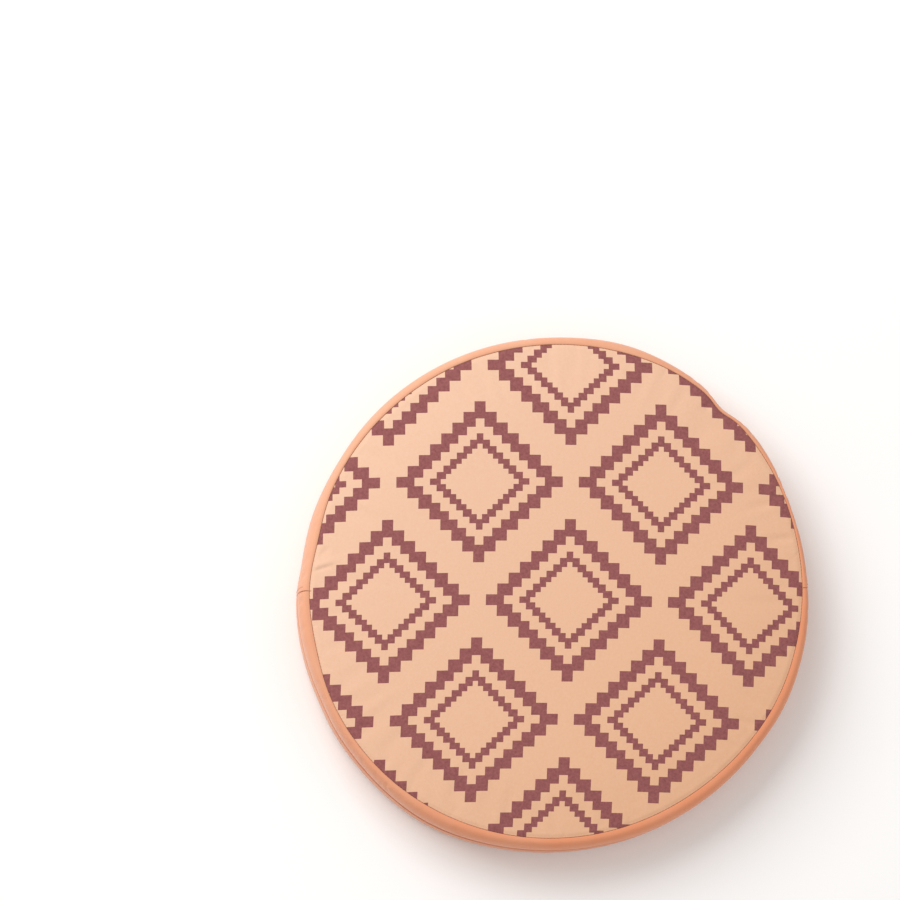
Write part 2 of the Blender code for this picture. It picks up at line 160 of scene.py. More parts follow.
def face_height(share, azimuth):
    """Height above the middle of a face at a share of the way out to its seam."""
    inside = (1 - share) * seam_radius(azimuth)
    rounded = 1 - (1 - np.clip(inside / SHOULDER, 0, 1)) ** 2
    dome = FACE_DOME * (1 - share**2)
    return SEAM_HALF + FACE_EDGE + (HALF_HEIGHT - SEAM_HALF - FACE_EDGE) * rounded + dome


def resting_height(share, azimuth):
    """The same for the lower face, which the floor keeps flat."""
    return face_height(share, azimuth) - FACE_DOME * (1 - share**2)


def skin(name, points, material=None, around=False, ends=False):
    """A quad mesh from rows of points. around joins the last column to the first, ends closes
    the first and last rows with a fan."""
    rows, columns = points.shape[:2]
    index = np.arange(rows * columns).reshape(rows, columns)
    if around:
        index = np.concatenate([index, index[:, :1]], axis=1)
    quads = np.stack([index[:-1, :-1], index[:-1, 1:], index[1:, 1:], index[1:, :-1]], axis=-1)
    faces = quads.reshape(-1, 4).tolist()
    vertices = points.reshape(-1, 3)
    if ends:
        tips = [points[0].mean(0), points[-1].mean(0)]
        first, last = rows * columns, rows * columns + 1
        vertices = np.concatenate([vertices, tips])
        ring = list(zip(index[0, :-1].tolist(), index[0, 1:].tolist()))
        faces += [[first, b, a] for a, b in ring]
        ring = list(zip(index[-1, :-1].tolist(), index[-1, 1:].tolist()))
        faces += [[last, a, b] for a, b in ring]
    mesh = bpy.data.meshes.new(name)
    mesh.from_pydata(vertices.tolist(), [], faces)
    if material is not None:
        mesh.materials.append(material)
    mesh.shade_smooth()
    made = bpy.data.objects.new(name, mesh)
    bpy.context.scene.collection.objects.link(made)
    return made


def outwards(obj):
    """Turns every face of a closed piece to the outside."""
    work = bmesh.new()
    work.from_mesh(obj.data)
    bmesh.ops.recalc_face_normals(work, faces=work.faces)
    work.to_mesh(obj.data)
    work.free()
    return obj


# The simulated cover: rings of the upper face, rows of the band, rings of the lower face.
SPOKES = 180
FACE_RINGS, BAND_ROWS = 30, 11
spoke_azimuths = np.arange(SPOKES) * 360 / SPOKES
ring_shares = np.linspace(1, FACE_RINGS, FACE_RINGS) / FACE_RINGS
band_shares = np.cos(np.linspace(0, np.pi, BAND_ROWS + 2))[1:-1]


def cover_rows():
    """The whole cover before it swells, row by row from the middle of the upper face to the lower's."""
    rows = []
    for share in ring_shares:
        rows.append(place_round(share * seam_radius(spoke_azimuths), spoke_azimuths,
                                MIDDLE + face_height(share, spoke_azimuths)))
    zip_side = np.abs(off(spoke_azimuths, 270)) < 90
    for share in band_shares:
        height = share * SEAM_HALF
        radius = np.where(zip_side, strip_radius(spoke_azimuths, height), band_radius(spoke_azimuths, share))
        rows.append(place_round(radius, spoke_azimuths, MIDDLE + height))
    for share in ring_shares[::-1]:
        rows.append(place_round(share * seam_radius(spoke_azimuths), spoke_azimuths,
                                MIDDLE - face_height(share, spoke_azimuths)))
    return np.array(rows)


PRESSURE = 1.0  # of the foam against the cover
SETTLE_FRAMES = 20
SWELL_CAP = 0.0018
LOOSE_ROWS = 6  # rows next to a seam where the cloth is cut with a little to spare
rest_rows = cover_rows()
swell = np.zeros_like(rest_rows)
cover = outwards(skin("cover_to_fill", rest_rows, around=True, ends=True))
held = cover.vertex_groups.new(name="held")
loose = cover.vertex_groups.new(name="loose")
seam_rows = {FACE_RINGS - 1, FACE_RINGS + BAND_ROWS}
slit_row = FACE_RINGS + BAND_ROWS // 2
for row in range(len(rest_rows)):
    for column, azimuth in enumerate(spoke_azimuths):
        at_slit = row == slit_row and abs(off(azimuth, 270)) < 91
        if row in seam_rows or at_slit:
            held.add([row * SPOKES + column], 1.0, "REPLACE")
        near_seam = min(abs(row - seam) for seam in seam_rows)
        if near_seam < LOOSE_ROWS:
            loose.add([row * SPOKES + column], 1 - near_seam / LOOSE_ROWS, "REPLACE")
filling = cover.modifiers.new("filled", "CLOTH")
cloth = filling.settings
cloth.quality = 6
cloth.mass = 0.3
cloth.bending_stiffness = 0.4
cloth.use_pressure = True
cloth.uniform_pressure_force = PRESSURE
cloth.vertex_group_mass = "held"
cloth.pin_stiffness = 1.0
cloth.shrink_min = 0.0
cloth.shrink_max = -0.03
cloth.vertex_group_shrink = "loose"
cloth.effector_weights.gravity = 0
filling.collision_settings.use_collision = False
filling.point_cache.frame_end = SETTLE_FRAMES
for number in range(1, SETTLE_FRAMES + 1):
    bpy.context.scene.frame_set(number)
filled = cover.evaluated_get(bpy.context.evaluated_depsgraph_get()).to_mesh()
settled = np.zeros(len(filled.vertices) * 3)
filled.vertices.foreach_get("co", settled)
swell = settled.reshape(-1, 3)[:len(rest_rows) * SPOKES].reshape(rest_rows.shape) - rest_rows
bpy.data.objects.remove(cover, do_unlink=True)
bpy.context.scene.frame_set(1)
size = np.linalg.norm(swell, axis=-1, keepdims=True)
swell *= np.tanh(size / SWELL_CAP) * SWELL_CAP / np.maximum(size, 1e-9)


def swell_at(row, azimuth):
    """The simulated swell at a fractional row and an azimuth, by cubic interpolation."""
    row, azimuth = np.broadcast_arrays(np.asarray(row, float), np.asarray(azimuth, float))
    column = azimuth % 360 / 360 * SPOKES
    total = np.zeros(row.shape + (3,))
    row_whole, column_whole = np.floor(row).astype(int), np.floor(column).astype(int)

    def weights(part):
        return [
            ((-0.5 * part + 1.0) * part - 0.5) * part,
            (1.5 * part - 2.5) * part * part + 1,
            ((-1.5 * part + 2.0) * part + 0.5) * part,
            (0.5 * part - 0.5) * part * part,
        ]

    row_weights, column_weights = weights(row - row_whole), weights(column - column_whole)
    for i, row_weight in enumerate(row_weights):
        rows = np.clip(row_whole + i - 1, 0, len(swell) - 1)
        for j, column_weight in enumerate(column_weights):
            columns = (column_whole + j - 1) % SPOKES
            total += (row_weight * column_weight)[..., None] * swell[rows, columns]
    return total


def swell_on_band(azimuth, share):
    """For a point of the band, from its share of the seam's height."""
    angle = np.arccos(np.clip(share, -1, 1))
    row = FACE_RINGS - 1 + angle / np.pi * (BAND_ROWS + 1)
    return swell_at(row, azimuth)


def swell_on_face(azimuth, share, side):
    """For a point of a face, from its share of the way out. side is 1 for the upper face, else -1."""
    ring = np.clip(share * FACE_RINGS - 1, 0, FACE_RINGS - 1)
    return swell_at(ring if side > 0 else len(swell) - 1 - ring, azimuth)


# ------------------------------------------------------------------ foam disc
# Cream polyurethane foam, cut from a 50 mm sheet. Its corners are rounded off by the tight cover,
# and the zip half of its edge is pressed in where the tapes and the slider lie against it.

COVER_ROOM = 0.0022  # between the foam and the cover's outside
EDGE_ROOM = 0.0040  # the same at the corners, where the seam allowances lie
# Radius of the foam where it is pressed in, and the heights from the slit over which that ends.
TAPE_PRESS = (0.1940, 0.010, 0.013)
SLIDER_PRESS = (0.1908, 0.005, 0.0065)


def linear(colour):
    """A colour written #RRGGBB in sRGB as linear RGBA."""
    parts = [int(colour[i:i + 2], 16) / 255 for i in (1, 3, 5)]
    return (*(c / 12.92 if c <= 0.04045 else ((c + 0.055) / 1.055) ** 2.4 for c in parts), 1)


def add(tree, kind, inputs=(), **settings):
    """One node with its settings, and its inputs given as values or as the sockets that feed them."""
    made = tree.nodes.new(kind)
    for name, value in settings.items():
        setattr(made, name, value)
    for name, value in dict(inputs).items():
        if isinstance(value, bpy.types.NodeSocket):
            tree.links.new(value, made.inputs[name])
        else:
            made.inputs[name].default_value = value
    return made


def finish(name, **values):
    """A new material, its node tree and its shader, with values on the shader's own sockets."""
    material = bpy.data.materials.new(name)
    material.use_nodes = True
    shader = material.node_tree.nodes["Principled BSDF"]
    for socket, value in values.items():
        shader.inputs[socket.replace("_", " ")].default_value = value
    return material, material.node_tree, shader


foam_azimuths = np.arange(0, 360, 1.0)
zip_half = step(-np.abs(off(foam_azimuths, 270)), -93, -88)
foam_rings = []
for side in (1, -1):
    rings = []
    for share in np.linspace(0.1, 0.96, 24):
        rise = face_height(share, foam_azimuths) if side > 0 else resting_height(share, foam_azimuths)
        rings.append((share * seam_radius(foam_azimuths), rise - COVER_ROOM))
    for angle in np.radians(np.arange(72, 5, -8)):
        share = math.sin(angle) ** (2 / BAND_ROUNDNESS)
        room = COVER_ROOM + EDGE_ROOM * share**4
        rings.append((band_radius(foam_azimuths, share) - room, (SEAM_HALF - COVER_ROOM) * share))
    foam_rings += [(radius, side * height) for radius, height in rings[::side]]
foam_points = []
for radius, height in foam_rings:
    height = height + 0 * radius
    for press, low, high in (TAPE_PRESS, SLIDER_PRESS):
        there = zip_half * step(-np.abs(height), -high, -low)
        radius = radius + (np.minimum(radius, press) - radius) * there
    foam_points.append(place_round(radius, foam_azimuths, MIDDLE + height))

# Polyurethane foam, cut: dull, cream, with the open cells showing as fine pits, each painted darker towards
# its middle where it is deepest: painted shade.
CELL = 0.0012  # cells are about 0.6 mm across, drawn at twice that so that they show
foam, tree, shader = finish("polyurethane_foam", Roughness=0.95, Subsurface_Weight=0.15)
where = add(tree, "ShaderNodeTexCoord").outputs["Object"]
cells = add(tree, "ShaderNodeTexVoronoi", {"Vector": where, "Scale": 1 / CELL})
tone = add(tree, "ShaderNodeValToRGB", {"Fac": cells.outputs["Distance"]})
tone.color_ramp.elements[0].color = linear("#E5DAC2")
tone.color_ramp.elements[1].color = linear("#F4EEDF")
tree.links.new(tone.outputs["Color"], shader.inputs["Base Color"])
pits = add(tree, "ShaderNodeBump", {"Height": cells.outputs["Distance"], "Strength": 0.5, "Distance": 0.0004})
tree.links.new(pits.outputs["Normal"], shader.inputs["Normal"])

foam_disc = outwards(skin("foam_disc", np.array(foam_points), foam, around=True, ends=True))
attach(foam_disc, "cushion")
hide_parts("foam_core")

# ------------------------------------------------------------------ printed faces
# Two discs of plain-woven cotton, peach with a maroon print of stepped diamonds, and printed with
# the same repeat on both. The edge of each is turned down inside the cover as a seam allowance,
# and the sewing gathers short creases along it.

ALLOWANCE = 0.0070  # of each seam
STITCHES = 480  # round each seam, 2.5 mm apart
EDGE_COLUMNS = 3 * STITCHES
GATHER = 0.00022  # depth of the small pucker at each stitch
FLOOR_PRESS = 0.05  # share of the lower face's swell that its own weight leaves

# Creases, each one an azimuth, distance in from the seam, length, lean in degrees, width and depth.
FACE_CREASES = [
    (175.3, 0.002, 0.017, -23, 0.0018, -0.00070),
    (174.2, 0.002, 0.020, -23, 0.0030, 0.00060),
    (171.3, 0.003, 0.010, -37, 0.0022, -0.00045),
    (163.2, 0.004, 0.010, -24, 0.0020, -0.00040),
    (11.6, 0.002, 0.022, 12, 0.0028, -0.00060),
    (20.7, 0.010, 0.018, 14, 0.0030, -0.00045),
    (325.0, 0.003, 0.022, -20, 0.0034, -0.00055),
    (318.0, 0.002, 0.016, -12, 0.0028, -0.00040),
    (49.0, 0.000, 0.012, 8, 0.0030, -0.00070),
    (55.0, 0.001, 0.010, -20, 0.0022, -0.00040),
    (322.0, 0.001, 0.014, 25, 0.0026, -0.00040),
    (225.0, 0.001, 0.010, -15, 0.0020, -0.00030),
]
chance = random.Random(7)
for _ in range(46):
    FACE_CREASES.append((
        chance.uniform(0, 360), chance.uniform(0, 0.001), chance.uniform(0.004, 0.012),
        chance.uniform(-40, 40), chance.uniform(0.0012, 0.0026), -chance.uniform(0.00008, 0.00028),
    ))


def creased(along, away, creases):
    """Depth of the creases at a place given as metres along a seam and away from it."""
    total = np.zeros(np.broadcast(along, away).shape)
    round_trip = 2 * np.pi * SEAM_RADIUS
    for azimuth, start, length, lean, width, depth in creases:
        slope = math.tan(math.radians(lean))
        aside = along - math.radians(azimuth) * SEAM_RADIUS - slope * (away - start)
        aside = (aside + round_trip / 2) % round_trip - round_trip / 2
        run = (away - start) / length
        body = step(run, -0.15, 0.2) * (1 - step(run, 0.45, 1.0))
        total += depth * body * np.exp(-((aside * math.cos(math.radians(lean)) / width) ** 2))
    return total


def printed_face(name, side, material):
    """A disc of rings that are finest at the seam, then its turned edge and its allowance."""
    rings = []
    steps = [0.0020]
    edge_distances = [0.0054, 0.0045, 0.0037, 0.0030, 0.0024, 0.0019, 0.0014, SEAM_GAP + FOLD]
    while steps[-1] < SEAM_RADIUS - 0.0075:
        spacing = 0.0036 - 0.0024 * steps[-1] / SEAM_RADIUS
        steps.append(steps[-1] + spacing)
    for radius in steps:
        columns = 90 if radius < 0.03 else 180 if radius < 0.065 else 360 if radius < 0.13 else 720
        columns = EDGE_COLUMNS if radius > 0.178 else columns
        rings.append((columns, "face", radius / SEAM_RADIUS))
    for distance in edge_distances:
        rings.append((EDGE_COLUMNS, "edge", distance))
    for degrees in (65, 40, 18, 0):
        rings.append((EDGE_COLUMNS, "turn", math.radians(degrees)))
    for depth in (0.0012, 0.0030, 0.0050, ALLOWANCE):
        rings.append((EDGE_COLUMNS, "hem", depth))
    points, faces, starts = [], [], []
    for columns, kind, value in rings:
        azimuth = np.arange(columns) * 360 / columns
        seam = seam_radius(azimuth)
        stitch = np.arange(columns) % 3 == 0 if columns == EDGE_COLUMNS else np.zeros(columns, bool)
        last = SEAM_GAP + FOLD
        if kind == "face":
            away = (1 - value) * SEAM_RADIUS
            radius = seam * value
        elif kind == "edge":
            away = value
            radius = seam - value
        else:
            away = last
            radius = seam - last
        share = radius / seam
        rise = face_height(share, azimuth) if side > 0 else resting_height(share, azimuth)
        height = rise - 0.0004 * np.exp(-((away - last) / 0.0016) ** 2)
        along = np.radians(azimuth) * SEAM_RADIUS
        height = height + creased(along if side > 0 else along + 0.31, away, FACE_CREASES)
        height = height - GATHER * stitch * math.exp(-(((away - last) / 0.0012) ** 2))
        shift = swell_on_face(azimuth, share, side)
        if side < 0:
            shift = shift * FLOOR_PRESS
        if kind == "turn":
            radius = radius + FOLD * math.cos(value)
            height = height - FOLD * (1 - math.sin(value))
        elif kind == "hem":
            radius = radius + FOLD
            height = height - FOLD - value
        ring = place_round(radius, azimuth, MIDDLE + side * height)
        starts.append(sum(len(p) for p in points))
        points.append(ring + shift)
    for (count, _, _), (outer_count, _, _), a, b in zip(rings, rings[1:], starts, starts[1:]):
        share = outer_count // count
        for i in range(count):
            j = (i + 1) % count
            if share == 1:
                faces.append((a + i, b + i, b + j, a + j))
            else:
                faces.append((a + i, b + 2 * i, b + 2 * i + 1))
                faces.append((a + i, b + 2 * i + 1, a + j))
                faces.append((a + j, b + 2 * i + 1, b + (2 * i + 2) % outer_count))
    middle = points[0].mean(0)
    points = np.concatenate(points + [middle[None]])
    centre = len(points) - 1
    first = rings[0][0]
    faces += [(centre, i, (i + 1) % first) for i in range(first)]
    if side < 0:
        faces = [face[::-1] for face in faces]
    mesh = bpy.data.meshes.new(name)
    mesh.from_pydata(points.tolist(), [], faces)
    mesh.materials.append(material)
    mesh.shade_smooth()
    face = bpy.data.objects.new(name, mesh)
    bpy.context.scene.collection.objects.link(face)
    return face


THREAD_PITCH = 0.00055  # of the woven cotton
SLUBS, MOTTLES = 900.0, 480.0  # in a metre: thick places in the yarn, flecks in its uneven dye
PAINTED_LIGHT_SLOPE = (-1.7, 1.9, 0)  # direction, towards the key lamp at the upper left, in which the cloth is painted lighter, and how fast: painted light and shade


def weave(tree, where, strength):
    """Bump of a plain weave: warp and weft change over like the squares of a checker."""
    ticked = (math.pi / THREAD_PITCH,) * 3
    ticks = add(tree, "ShaderNodeVectorMath", {0: where, 1: ticked}, operation="MULTIPLY")
    waves = add(tree, "ShaderNodeVectorMath", {0: ticks.outputs[0]}, operation="SINE")
    square = add(tree, "ShaderNodeVectorMath", {0: waves.outputs[0]}, operation="ABSOLUTE")
    parts = add(tree, "ShaderNodeSeparateXYZ", {0: square.outputs[0]})
    over = add(tree, "ShaderNodeTexChecker", {"Vector": where, "Scale": 1 / THREAD_PITCH})
    pair = {0: over.outputs["Fac"], 2: parts.outputs["X"], 3: parts.outputs["Y"]}
    height = add(tree, "ShaderNodeMix", pair)
    slub = add(tree, "ShaderNodeTexNoise", {"Vector": where, "Scale": SLUBS, "Detail": 3.0})
    mixed = add(tree, "ShaderNodeMath", {0: height.outputs[0], 1: slub.outputs["Fac"]}, operation="ADD")
    relief = {"Height": mixed.outputs[0], "Strength": strength, "Distance": 0.00006}
    return add(tree, "ShaderNodeBump", relief)


# The print's repeat. Diamonds of 15 by 15 steps stand in two interleaved grids, and each is four
# outlines of shrinking size, inked in turn. The cloth was cut a little off its grain.
REPEAT_X, REPEAT_Y = 0.1423, 0.1854
STEP_X, STEP_Y = 0.00865, 0.00846
STEPS_OUT = 7.5  # from the middle of a diamond to its points
OUTLINES = (1.0, 0.783, 0.598, 0.468)
PRINT_X, PRINT_Y = 0.0089, -0.0094  # from the middle of the cushion to that of a diamond
SKEW_X, SKEW_Y = -0.0462, 0.0165
BOW_X, BOW_Y = 0.068, 0.12  # the yarns bow a little each way, as cloth does off the roll


def printed_cotton(name, mirror):
    """Printed plain-weave cotton: matt, with a soft sheen at grazing angles and flat, crisp ink."""
    material, tree, shader = finish(
        name, Roughness=0.82, Sheen_Weight=0.22, Sheen_Roughness=0.45, Specular_IOR_Level=0.25,
    )
    where = add(tree, "ShaderNodeTexCoord").outputs["Object"]
    start = (-mirror * PRINT_X, -PRINT_Y, 0)
    moved = add(tree, "ShaderNodeVectorMath", {0: where, 1: start}, operation="ADD")
    squares = add(tree, "ShaderNodeVectorMath", {0: where, 1: where}, operation="MULTIPLY")
    folds = []
    for run, bow, repeat in (
        ((1, mirror * SKEW_X, 0), (0, mirror * BOW_X, 0), REPEAT_X),
        ((mirror * SKEW_Y, 1, 0), (BOW_Y, 0, 0), REPEAT_Y),
    ):
        straight = add(tree, "ShaderNodeVectorMath", {0: moved.outputs[0], 1: run}, operation="DOT_PRODUCT")
        bowed = add(tree, "ShaderNodeVectorMath", {0: squares.outputs[0], 1: bow}, operation="DOT_PRODUCT")
        both = {0: straight.outputs["Value"], 1: bowed.outputs["Value"]}
        place = add(tree, "ShaderNodeMath", both, operation="ADD")
        folds.append(add(tree, "ShaderNodeMath", {0: place.outputs[0], 1: repeat / 2}, operation="PINGPONG"))
    fold_x, fold_y = folds
    one = add(tree, "ShaderNodeCombineXYZ", {"X": fold_x.outputs[0], "Y": fold_y.outputs[0]})
    half = (REPEAT_X / 2, REPEAT_Y / 2, 0)
    other = add(tree, "ShaderNodeVectorMath", {0: half, 1: one.outputs[0]}, operation="SUBTRACT")
    inked = None
    for number, outline in enumerate(OUTLINES):
        counts = []
        for grid in (one, other):
            scale = (1 / (STEP_X * outline), 1 / (STEP_Y * outline), 0)
            scaled = {0: grid.outputs[0], 1: scale, 2: (0.5, 0.5, 0)}
            cell = add(tree, "ShaderNodeVectorMath", scaled, operation="MULTIPLY_ADD")
            whole = add(tree, "ShaderNodeVectorMath", {0: cell.outputs[0]}, operation="FLOOR")
            summed = {0: whole.outputs[0], 1: (1, 1, 0)}
            steps = add(tree, "ShaderNodeVectorMath", summed, operation="DOT_PRODUCT")
            counts.append(steps.outputs["Value"])
        nearer = add(tree, "ShaderNodeMath", {0: counts[0], 1: counts[1]}, operation="MINIMUM")
        within = add(tree, "ShaderNodeMath", {0: nearer.outputs[0], 1: STEPS_OUT}, operation="LESS_THAN")
        inside = within.outputs[0]
        if inked is None:
            inked = inside
        else:
            kind = "SUBTRACT" if number % 2 else "ADD"
            inked = add(tree, "ShaderNodeMath", {0: inked, 1: inside}, operation=kind).outputs[0]
    # The cloth is painted a little lighter towards the upper left, where the key lamp is, and darker
    # opposite: painted light and shade. The yarn shows as a fine mottle.
    painted_light = add(tree, "ShaderNodeVectorMath", {0: where, 1: PAINTED_LIGHT_SLOPE}, operation="DOT_PRODUCT")
    flecks = {"Vector": where, "Scale": MOTTLES, "Detail": 4.0, "Roughness": 0.65}
    mottle = add(tree, "ShaderNodeTexNoise", flecks)
    both = {0: painted_light.outputs["Value"], 1: mottle.outputs["Fac"]}
    mixed = add(tree, "ShaderNodeMath", both, operation="ADD")
    peach = {0: mixed.outputs[0], 6: linear("#DFAD89"), 7: linear("#E4BBA0")}
    cloth_tone = add(tree, "ShaderNodeMix", peach, data_type="RGBA")
    wider = add(tree, "ShaderNodeMath", {0: mottle.outputs["Fac"], 1: 2.4, 2: -0.7}, operation="MULTIPLY_ADD")
    maroon = {0: wider.outputs[0], 6: linear("#7F4747"), 7: linear("#9A5D5B")}
    ink_tone = add(tree, "ShaderNodeMix", maroon, data_type="RGBA")
    printed = {0: inked, 6: cloth_tone.outputs[2], 7: ink_tone.outputs[2]}
    colour = add(tree, "ShaderNodeMix", printed, data_type="RGBA")
    tree.links.new(colour.outputs[2], shader.inputs["Base Color"])
    tree.links.new(weave(tree, where, 0.35).outputs["Normal"], shader.inputs["Normal"])
    return material


upper_cotton = printed_cotton("printed_cotton_upper", 1)
lower_cotton = printed_cotton("printed_cotton_lower", -1)
upper_face = printed_face("upper_face", 1, upper_cotton)
lower_face = printed_face("lower_face", -1, lower_cotton)
for face, node in ((upper_face, "top_panel"), (lower_face, "bottom_panel")):
    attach(face, "cushion")
    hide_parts(node)

# ------------------------------------------------------------------ boxing band
# Plain orange-peach cotton. One half of it is a single strip. The other half is two narrow strips
# whose edges are folded back and rolled in to hide the zip. Each end is folded under at the joins.

BAND_COLUMNS_DEG = 0.25
END_FOLD = 0.0008  # radius of the turn at each end of a strip
END_GAP = 0.00022  # from a join to the cloth on each side
LIP = 0.0003  # radius of the fold at the slit
FOLD_BACK = 0.0085  # how far the cloth of a narrow strip is folded back behind the slit
CLOUDS = 22.0  # broad patches of dye in a metre

# Creases as on the faces, each depth inwards where it is below 0.
BAND_CREASES = [
    (228.0, 0.001, 0.012, 20, 0.0016, -0.0008),
    (229.0, 0.001, 0.010, -25, 0.0020, 0.0006),
    (246.0, 0.001, 0.012, 35, 0.0020, -0.0005),
    (183.0, 0.001, 0.012, -30, 0.0020, -0.0006),
    (176.0, 0.002, 0.014, 24, 0.0024, -0.0005),
    (262.0, 0.001, 0.010, -30, 0.0018, -0.0004),
]
for _ in range(70):
    BAND_CREASES.append((
        chance.uniform(0, 360), chance.uniform(0, 0.001), chance.uniform(0.004, 0.014),
        chance.uniform(-35, 35), chance.uniform(0.0012, 0.0030), -chance.uniform(0.00010, 0.00045),
    ))


def band_ends(azimuth, start, end):
    """How far the cloth turns under next to either end of a strip."""
    near = np.minimum(azimuth - start, end - azimuth) * math.radians(1) * BAND_RADIUS
    inside = np.clip(1 - near / END_FOLD, 0, 1)
    return END_FOLD * (1 - np.sqrt(np.clip(1 - inside**2, 0, 1)))


def columns_between(start, end):
    """Azimuths of a strip's columns, closer together where the ends turn under."""
    turn = math.degrees(END_FOLD / BAND_RADIUS)
    close = turn * (1 - np.cos(np.linspace(0, np.pi / 2, 6)))
    body = np.linspace(start + turn, end - turn, round((end - start) / BAND_COLUMNS_DEG))
    return np.concatenate([start + close[:-1], body, end - close[:-1][::-1]])


def band_rows(azimuth, side, zip_strip):
    """Rows of a strip from its hem at one seam outwards. Each row is (radius, height, share)."""
    seam = seam_radius(azimuth)
    rows = []
    edge = SEAM_HALF
    for depth in (ALLOWANCE, 0.0050, 0.0030, 0.0012):
        rows.append((seam + SEAM_GAP, edge - FOLD - depth, 1.0))
    for degrees in (0, 18, 38, 60):
        turn = math.radians(degrees)
        rows.append((seam + SEAM_GAP + FOLD * (1 - math.cos(turn)), edge - FOLD * (1 - math.sin(turn)), 1.0))
    if zip_strip:
        shares = [math.sin(math.radians(a)) ** (2 / BAND_ROUNDNESS) for a in np.linspace(90, 18, 20)]
        heights = [s * edge for s in shares if s * edge > 0.0046]
        heights += [0.0042, 0.0038, 0.0034, 0.0031, 0.0030, 0.0029, 0.0028, 0.0027, 0.0026, 0.0025, 0.0024]
        heights += [0.0023, 0.0022, 0.0018, 0.0013, SLIT_HALF + LIP]
        for height in heights:
            rows.append((strip_radius(azimuth, height), height, height / edge))
        lip = strip_radius(azimuth, SLIT_HALF + LIP)
        for degrees in (30, 60, 90, 120, 150):
            turn = math.radians(degrees)
            rows.append((lip - LIP * (1 - math.cos(turn)), SLIT_HALF + LIP * (1 - math.sin(turn)), 0.03))
        for height in (SLIT_HALF + LIP, 0.0020, 0.0035, 0.0055, FOLD_BACK):
            rows.append((strip_radius(azimuth, height) - 2 * LIP, height, height / edge))
        return [(r, side * h, side * s) for r, h, s in rows]
    half = [math.sin(math.radians(a)) ** (2 / BAND_ROUNDNESS) for a in np.linspace(90, 0, 22)]
    whole = list(rows)
    for share in half:
        whole.append((band_radius(azimuth, share), share * edge, share))
    for share in half[-2::-1]:
        whole.append((band_radius(azimuth, share), -share * edge, -share))
    whole += [(r, -h, -s) for r, h, s in rows[::-1]]
    return whole


def band_strip(name, start, end, side, zip_strip, material):
    """One strip of the band between two azimuths, with its hems and its turned ends."""
    start, end = start + math.degrees(END_GAP / BAND_RADIUS), end - math.degrees(END_GAP / BAND_RADIUS)
    azimuth = columns_between(start, end)
    rows = band_rows(azimuth, side, zip_strip)
    under = band_ends(azimuth, start, end)
    made = []
    for number, (radius, height, share) in enumerate(rows):
        away = (1 - abs(share)) * SEAM_HALF
        along = np.radians(azimuth) * SEAM_RADIUS
        crease = creased(along + (0 if height > 0 else 0.47), away, BAND_CREASES)
        free = step(np.abs(height), 0.004, 0.008) if zip_strip else 1.0
        shift = swell_on_band(azimuth, np.full_like(azimuth, share))
        if zip_strip:
            shift = shift * step(np.abs(height), SLIT_HALF, GROOVE_HALF)
        radius = radius + crease * free - under
        made.append(place_round(radius, azimuth, MIDDLE + height) + shift)
    made = np.array(made)
    ends = []
    for column, turn in ((0, start), (-1, end)):
        inwards = -np.array([math.cos(math.radians(turn)), math.sin(math.radians(turn)), 0])
        ends.append([made[:, column] + inwards * depth for depth in (0.0050, 0.0025, 0.0010)])
    first = np.stack(ends[0], axis=1)
    last = np.stack(ends[1][::-1], axis=1)
    return skin(name, np.concatenate([first, made, last], axis=1), material)


def plain_cotton(name, light, dark):
    """Dyed plain-weave cotton: matt, a shade deeper than the faces, with broad patches of dye, and painted
    lighter towards the key lamp and darker opposite, as the faces are: painted light and shade.
    """
    material, tree, shader = finish(
        name, Roughness=0.8, Sheen_Weight=0.25, Sheen_Roughness=0.4, Specular_IOR_Level=0.25,
    )
    where = add(tree, "ShaderNodeTexCoord").outputs["Object"]
    painted_light = add(tree, "ShaderNodeVectorMath", {0: where, 1: PAINTED_LIGHT_SLOPE}, operation="DOT_PRODUCT")
    broad = add(tree, "ShaderNodeTexNoise", {"Vector": where, "Scale": CLOUDS, "Detail": 4.0})
    mixed = add(tree, "ShaderNodeMath", {0: painted_light.outputs["Value"], 1: broad.outputs["Fac"]}, operation="ADD")
    dye_and_shade = {0: mixed.outputs[0], 6: linear(dark), 7: linear(light)}
    tone = add(tree, "ShaderNodeMix", dye_and_shade, data_type="RGBA")
    tree.links.new(tone.outputs[2], shader.inputs["Base Color"])
    tree.links.new(weave(tree, where, 0.35).outputs["Normal"], shader.inputs["Normal"])
    return material


# The light colour stands for the band where the key lamp falls on it and the dark one for its shaded side
# opposite: painted light and shade, besides the broad patches of dye.
band_cotton = plain_cotton("plain_cotton_band", "#DFA484", "#DD8F68")
band_strips = [
    ("plain_band", 0, 180, 1, False, "band_plain", 2 * SEAM_HALF),
    ("zip_strip_upper", 180, 360, 1, True, "band_zip_upper", SEAM_HALF + FOLD_BACK),
    ("zip_strip_lower", 180, 360, -1, True, "band_zip_lower", SEAM_HALF + FOLD_BACK),
]
for name, start, end, side, zip_strip, node, wide in band_strips:
    strip = band_strip(name, start, end, side, zip_strip, band_cotton)
    if side > 0:
        strip.data.flip_normals()
    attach(strip, "cushion")
    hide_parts(node)

# ------------------------------------------------------------------ stitching
# Polyester thread. Each seam is sewn from inside, so only the threads between the two cloths show,
# as short dashes down in the seam. The two joins of the band are topstitched in plain sight.

THREAD_RADIUS = 0.00021
TWIST_SCALE = 900.0  # sets the bands of its twist 0.4 mm apart
SEAM_STITCH, JOIN_STITCH = 0.0019, 0.0020  # length of a stitch that shows
STITCH_DROP = 0.00052  # from the seam's edge down to its stitches
STITCH_SLANT = 0.12  # how far a stitch leans across its seam


